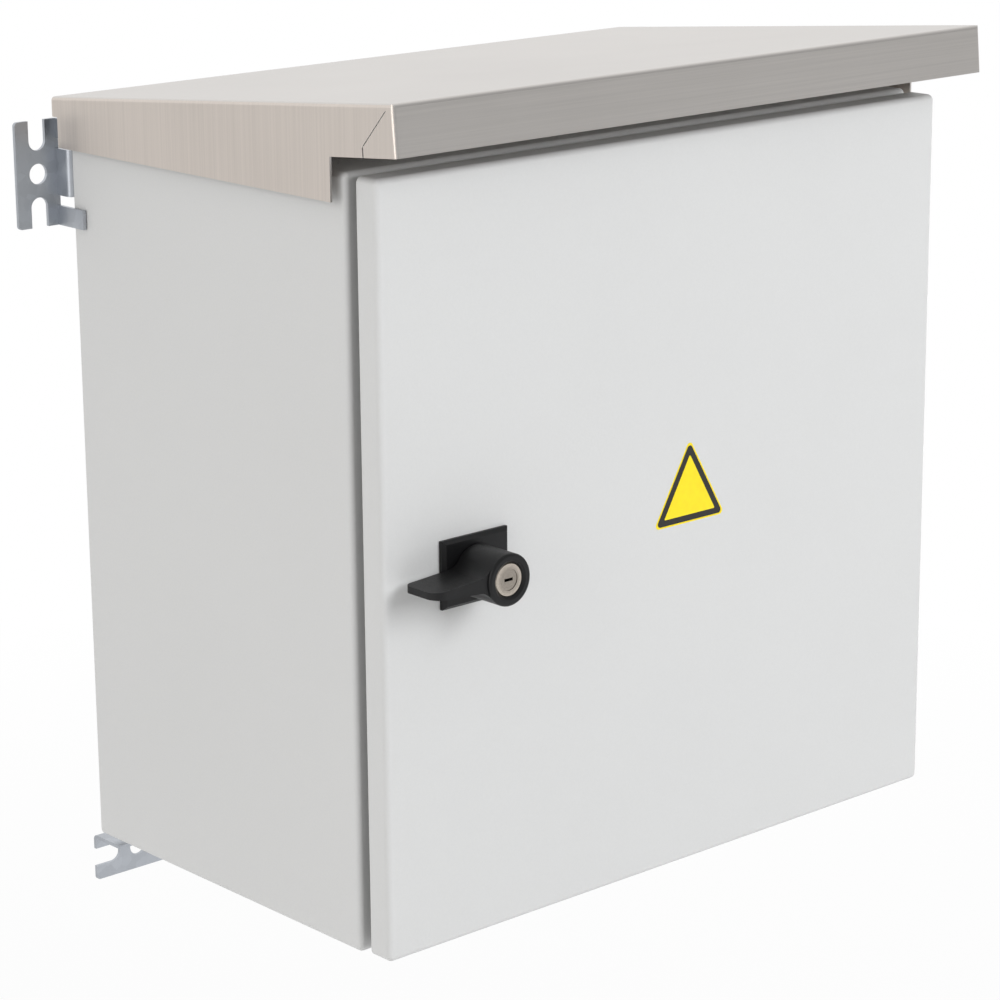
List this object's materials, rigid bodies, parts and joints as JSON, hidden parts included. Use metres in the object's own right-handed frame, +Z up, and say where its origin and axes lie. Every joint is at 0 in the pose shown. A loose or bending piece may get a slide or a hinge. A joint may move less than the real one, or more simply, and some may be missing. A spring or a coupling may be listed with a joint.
{
  "type": "roadside utility cabinet",
  "caption": "Wall-hung sheet-steel utility cabinet with a hinged tray door, a key-locked wing handle, a sloped stainless rain canopy and slotted wall brackets.",
  "frame": {"origin": "midway between the two upper wall holes, on the plane of the wall", "axes": "+X to the right seen from the front, +Y into the wall, +Z up; the door faces -Y"},
  "size_m": [0.455, 0.294, 0.47],
  "materials": {
    "body_paint": "fine powder coat",
    "door_paint": "fine powder coat",
    "stainless": "brushed",
    "zinc": "bright zinc plate",
    "seal": "foamed rubber",
    "brass": "turned",
    "black_plastic": "fine grain",
    "nickel": "nickel plate"
  },
  "bodies": {
    "cabinet": {"cabinet_body": "body_paint", "front_frame": "body_paint", "rain_canopy": "stainless", "canopy_support_left": "zinc", "canopy_support_right": "zinc", "canopy_bolts": "zinc", "canopy_nuts": "zinc", "bracket_upper_left": "zinc", "bracket_upper_right": "zinc", "bracket_lower_left": "zinc", "bracket_lower_right": "zinc", "bracket_bolts": "zinc", "bracket_nuts": "zinc", "mounting_plate": "zinc", "mounting_studs": "zinc", "mounting_spacers": "zinc", "mounting_nuts": "zinc", "gland_plate": "body_paint", "gland_gasket": "seal", "gland_screws": "zinc", "gland_nuts": "zinc", "earth_stud_body": "brass", "earth_nuts_body": "brass", "hinge_frame_leaf_lower": "body_paint", "hinge_frame_leaf_upper": "body_paint", "hinge_pin_lower": "zinc", "hinge_pin_upper": "zinc"},
    "door": {"hinge_door_leaf_lower": "door_paint", "hinge_door_leaf_upper": "door_paint", "door_panel": "door_paint", "door_gasket": "seal", "earth_stud_door": "brass", "earth_nuts_door": "brass", "lock_base": "black_plastic", "lock_nut": "zinc"},
    "handle": {"wing_handle": "black_plastic", "lock_shaft": "zinc", "latch_cam": "zinc", "cam_screw": "zinc", "key_cylinder": "nickel"},
    "plug": {"key_plug": "nickel"}
  },
  "joints": [
    {"name": "door_swing", "type": "hinge", "parent": "cabinet", "child": "door", "pos_m": [0.1975, -0.24575, -0.172], "axis": [0, 0, 1], "range_deg": [0, 110]},
    {"name": "handle_turn", "type": "hinge", "parent": "door", "child": "handle", "pos_m": [-0.1425, -0.264, -0.1746], "axis": [0, -1, 0], "range_deg": [0, 90]},
    {"name": "key_turn", "type": "hinge", "parent": "handle", "child": "plug", "pos_m": [-0.1425, -0.288, -0.1746], "axis": [0, -1, 0], "range_deg": [0, 90]}
  ]
}
